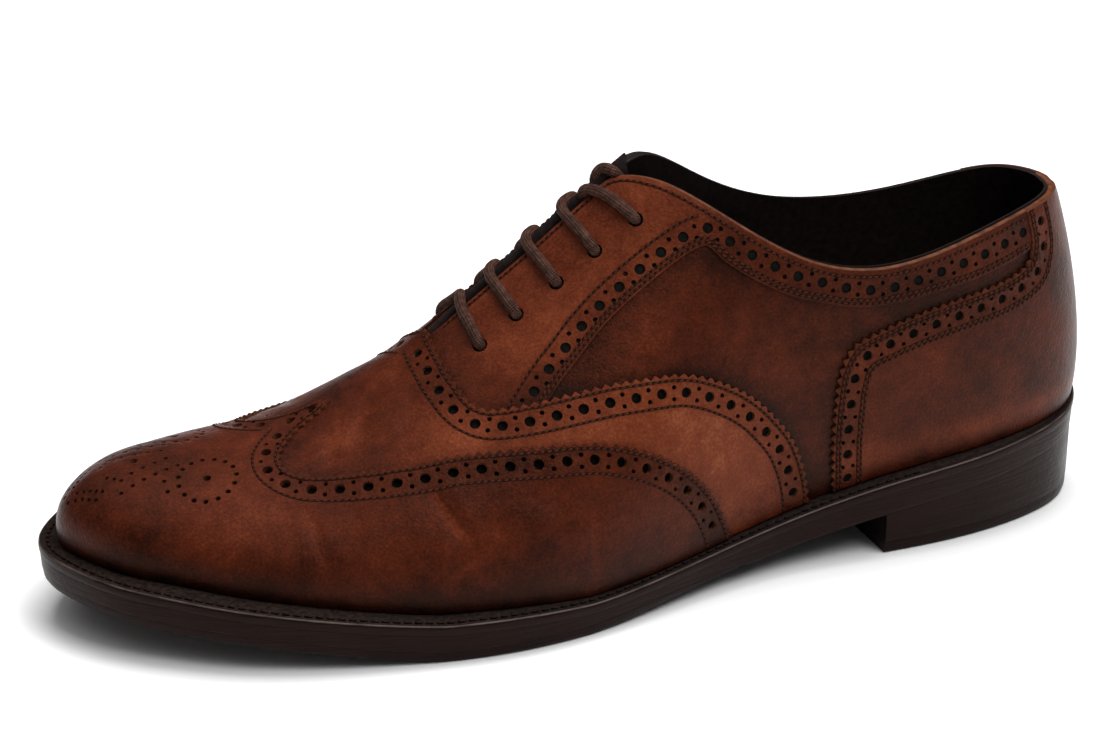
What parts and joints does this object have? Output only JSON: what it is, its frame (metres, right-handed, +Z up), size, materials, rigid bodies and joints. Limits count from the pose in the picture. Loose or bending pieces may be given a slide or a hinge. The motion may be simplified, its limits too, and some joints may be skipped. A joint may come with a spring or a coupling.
{
  "type": "dress shoe",
  "caption": "Left lace-up dress shoe: a hollow brown leather upper with punched full brogue overlays on a stitched welt, leather sole and low stacked heel.",
  "frame": {"origin": "centre of the shoe's bounding box in plan, on the floor under the sole", "axes": "+X from heel to toe, +Y to the lateral side (the wearer's left), +Z up"},
  "size_m": [0.3064, 0.107, 0.1144],
  "materials": {
    "upper_leather": "polished",
    "cap_leather": "polished",
    "vamp_leather": "polished",
    "facing_leather": "polished",
    "counter_leather": "polished",
    "tongue_leather": "matt",
    "insole": "matt",
    "welt": "waxed",
    "outsole": "waxed edge",
    "half_sole": "matt",
    "heel": "waxed edge",
    "top_lift": "matt",
    "lace": "waxed cord"
  },
  "bodies": {
    "root": {"upper": "upper_leather", "wing_cap": "cap_leather", "vamp": "vamp_leather", "facing_lateral": "facing_leather", "facing_medial": "facing_leather", "counter": "counter_leather", "tongue": "tongue_leather", "insole": "insole", "welt": "welt", "outsole": "outsole", "half_sole": "half_sole", "heel": "heel", "top_lift": "top_lift", "lace_bar_1": "lace", "lace_bar_2": "lace", "lace_bar_3": "lace", "lace_bar_4": "lace", "lace_bar_5": "lace"}
  },
  "joints": []
}
